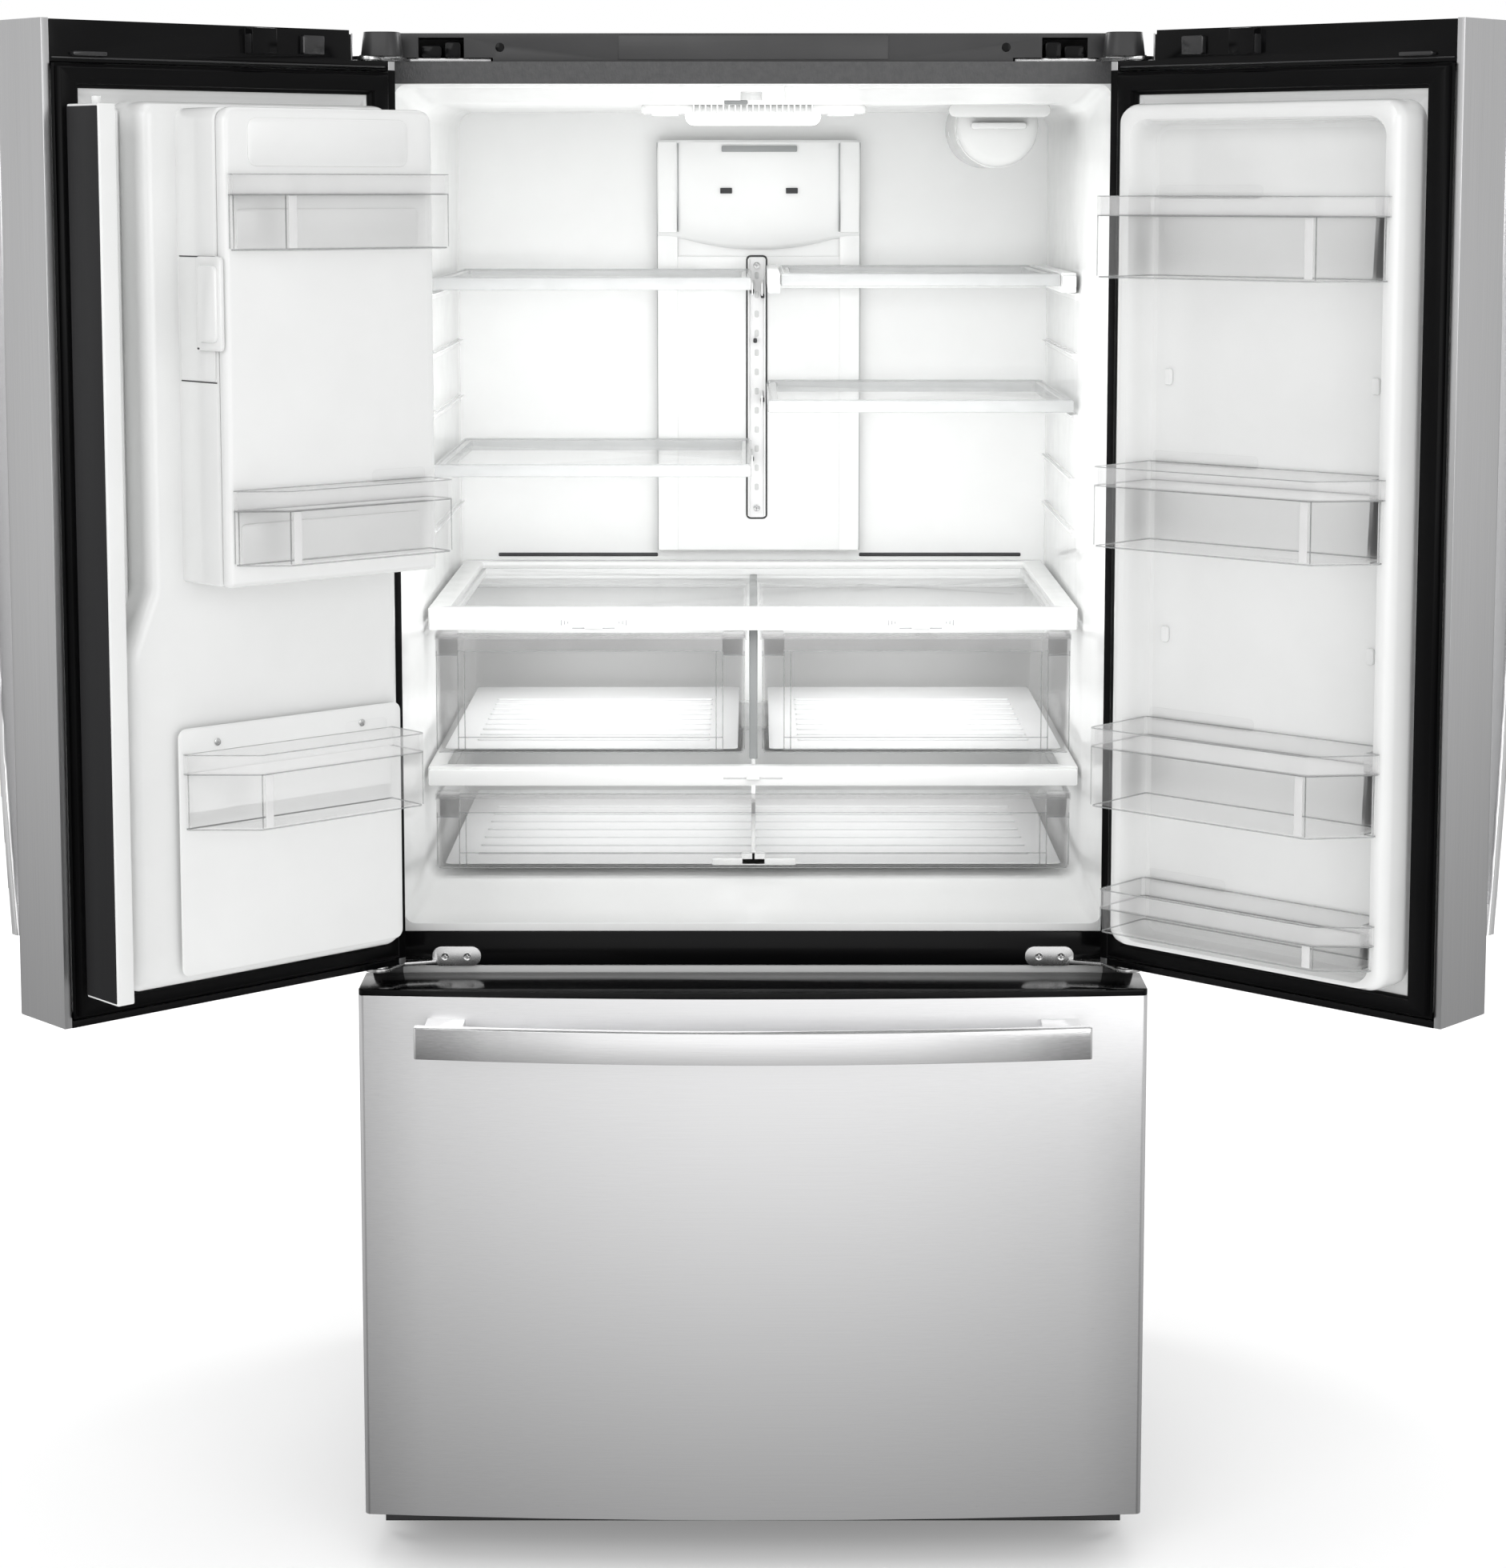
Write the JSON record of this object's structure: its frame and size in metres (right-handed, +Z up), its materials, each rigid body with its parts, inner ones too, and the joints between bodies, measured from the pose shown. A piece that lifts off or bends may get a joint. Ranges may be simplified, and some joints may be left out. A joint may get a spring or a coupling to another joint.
{
  "type": "french door refrigerator",
  "caption": "Bottom-freezer refrigerator with two hinged upper doors, in-door ice box, folding mullion, sliding crispers, pan, shelf and freezer drawer.",
  "frame": {"origin": "middle of the whole object's box, at floor level, with both upper doors open", "axes": "+X to the viewer's right, front faces -Y, +Z up"},
  "size_m": [1.6714, 1.1661, 1.775],
  "materials": {
    "case_steel": "textured charcoal enamel",
    "liner_white": "glossy moulded white",
    "black_gloss": "gloss black",
    "cover_grey": "satin dark grey",
    "gasket_black": "soft black",
    "stainless": "fine brushed",
    "hinge_steel": "plated",
    "clear_plastic": "clear moulded",
    "shelf_rim": "pale translucent",
    "pane": "clear tempered",
    "track_steel": "white enamel",
    "basket_white": "white moulded",
    "flipper_steel": "dark steel face",
    "dispenser_black": "gloss black",
    "machine_black": "satin black",
    "dark_plastic": "moulded",
    "valve_plastic": "moulded"
  },
  "bodies": {
    "cabinet": {"cabinet_shell": "case_steel", "fresh_food_liner": "liner_white", "freezer_liner": "liner_white", "mullion_rail": "black_gloss", "hinge_cover_bar": "cover_grey", "top_hinges": "hinge_steel", "lower_hinges": "hinge_steel", "cabinet_screws": "hinge_steel", "air_tower": "liner_white", "ceiling_lamp": "liner_white", "shelf_track": "track_steel", "shelf_frames": "shelf_rim", "shelf_panes": "pane", "crisper_cover": "liner_white", "deli_cover": "liner_white", "cooling_circuit": "machine_black", "rear_cover": "case_steel", "water_valve": "valve_plastic", "base_grille": "cover_grey", "freezer_slides": "hinge_steel"},
    "left_door": {"left_door_skin": "stainless", "left_door_caps": "black_gloss", "left_door_gasket": "gasket_black", "left_door_handle": "stainless", "left_door_liner": "liner_white", "ice_box_housing": "liner_white", "ice_bucket": "clear_plastic", "left_lower_bin": "clear_plastic", "dispenser_housing": "dispenser_black"},
    "right_door": {"right_door_skin": "stainless", "right_door_caps": "black_gloss", "right_door_gasket": "gasket_black", "right_door_handle": "stainless", "right_door_liner": "liner_white", "right_door_bins": "clear_plastic", "right_bottom_bin": "clear_plastic"},
    "flipper": {"flipper": "flipper_steel"},
    "ice_door": {"ice_box_door": "liner_white", "ice_door_bins": "clear_plastic"},
    "ice_latch": {"ice_box_latch": "liner_white"},
    "paddle": {"dispenser_paddle": "dispenser_black"},
    "freezer_drawer": {"freezer_front_skin": "stainless", "freezer_front_caps": "black_gloss", "freezer_door_liner": "liner_white", "freezer_gasket": "gasket_black", "freezer_handle": "stainless", "lower_basket": "basket_white"},
    "upper_basket": {"upper_basket": "basket_white"},
    "left_crisper": {"left_crisper": "clear_plastic"},
    "right_crisper": {"right_crisper": "clear_plastic"},
    "deli_pan": {"deli_pan": "clear_plastic"},
    "left_humidity_slider": {"left_humidity_slider": "liner_white"},
    "right_humidity_slider": {"right_humidity_slider": "liner_white"},
    "deli_slider": {"deli_slider": "liner_white"},
    "slide_shelf": {"slide_shelf": "shelf_rim"},
    "water_filter": {"water_filter": "liner_white"},
    "condenser_fan": {"condenser_fan": "dark_plastic"},
    "left_leg": {"left_levelling_leg": "dark_plastic"},
    "right_leg": {"right_levelling_leg": "dark_plastic"},
    "rear_rollers": {"rear_rollers": "dark_plastic"}
  },
  "joints": [
    {"name": "left_door_hinge", "type": "hinge", "parent": "cabinet", "child": "left_door", "pos_m": [-0.4353, -0.2155, 1.24], "axis": [0, 0, -1], "range_deg": [-137.5, 0]},
    {"name": "right_door_hinge", "type": "hinge", "parent": "cabinet", "child": "right_door", "pos_m": [0.4353, -0.2155, 1.24], "axis": [0, 0, 1], "range_deg": [-137.5, 0]},
    {"name": "flipper_fold", "type": "hinge", "parent": "left_door", "child": "flipper", "pos_m": [-0.70142, -0.52981, 1.214], "axis": [0, 0, -1], "range_deg": [0, 90]},
    {"name": "ice_door_hinge", "type": "hinge", "parent": "left_door", "child": "ice_door", "pos_m": [-0.35605, -0.37644, 1.433], "axis": [0, 0, 1], "range_deg": [0, 90]},
    {"name": "ice_latch_pivot", "type": "hinge", "parent": "ice_door", "child": "ice_latch", "pos_m": [-0.5502, -0.55977, 1.48], "axis": [0, 0, 1], "range_deg": [0, 20], "stiffness_Nm_per_rad": 0.6},
    {"name": "paddle_pivot", "type": "hinge", "parent": "left_door", "child": "paddle", "pos_m": [-0.61202, -0.33837, 1.284], "axis": [-0.7373, -0.6756, 0], "range_deg": [0, 8], "stiffness_Nm_per_rad": 1.2},
    {"name": "freezer_drawer_slide", "type": "slide", "parent": "cabinet", "child": "freezer_drawer", "axis": [0, -1, 0], "range_m": [0, 0.42]},
    {"name": "upper_basket_slide", "type": "slide", "parent": "cabinet", "child": "upper_basket", "axis": [0, -1, 0], "range_m": [0, 0.34]},
    {"name": "left_crisper_slide", "type": "slide", "parent": "cabinet", "child": "left_crisper", "axis": [0, -1, 0], "range_m": [0, 0.285]},
    {"name": "right_crisper_slide", "type": "slide", "parent": "cabinet", "child": "right_crisper", "axis": [0, -1, 0], "range_m": [0, 0.285]},
    {"name": "deli_pan_slide", "type": "slide", "parent": "cabinet", "child": "deli_pan", "axis": [0, -1, 0], "range_m": [0, 0.285]},
    {"name": "left_humidity_slide", "type": "slide", "parent": "cabinet", "child": "left_humidity_slider", "axis": [1, 0, 0], "range_m": [-0.014, 0.014]},
    {"name": "right_humidity_slide", "type": "slide", "parent": "cabinet", "child": "right_humidity_slider", "axis": [1, 0, 0], "range_m": [-0.014, 0.014]},
    {"name": "deli_temperature_slide", "type": "slide", "parent": "cabinet", "child": "deli_slider", "axis": [1, 0, 0], "range_m": [-0.012, 0.012]},
    {"name": "shelf_slide", "type": "slide", "parent": "cabinet", "child": "slide_shelf", "axis": [0, -1, 0], "range_m": [0, 0.2]},
    {"name": "filter_twist", "type": "hinge", "parent": "cabinet", "child": "water_filter", "pos_m": [0.3, 0.227, 1.675], "axis": [0, -1, 0], "range_deg": [0, 90]},
    {"name": "fan_spin", "type": "hinge", "parent": "cabinet", "child": "condenser_fan", "pos_m": [-0.06, 0.466, 0.15], "axis": [0, 1, 0], "continuous": true},
    {"name": "left_leg_turn", "type": "hinge", "parent": "cabinet", "child": "left_leg", "pos_m": [-0.39, -0.114, 0.02], "axis": [0, 0, 1], "continuous": true},
    {"name": "right_leg_turn", "type": "hinge", "parent": "cabinet", "child": "right_leg", "pos_m": [0.39, -0.114, 0.02], "axis": [0, 0, 1], "continuous": true},
    {"name": "rollers_spin", "type": "hinge", "parent": "cabinet", "child": "rear_rollers", "pos_m": [0, 0.516, 0.02], "axis": [1, 0, 0], "continuous": true}
  ],
  "couplings": [
    {"joint": "flipper_fold", "follows": "left_door_hinge", "ratio": -0.6545},
    {"joint": "upper_basket_slide", "follows": "freezer_drawer_slide", "ratio": 0.8}
  ]
}
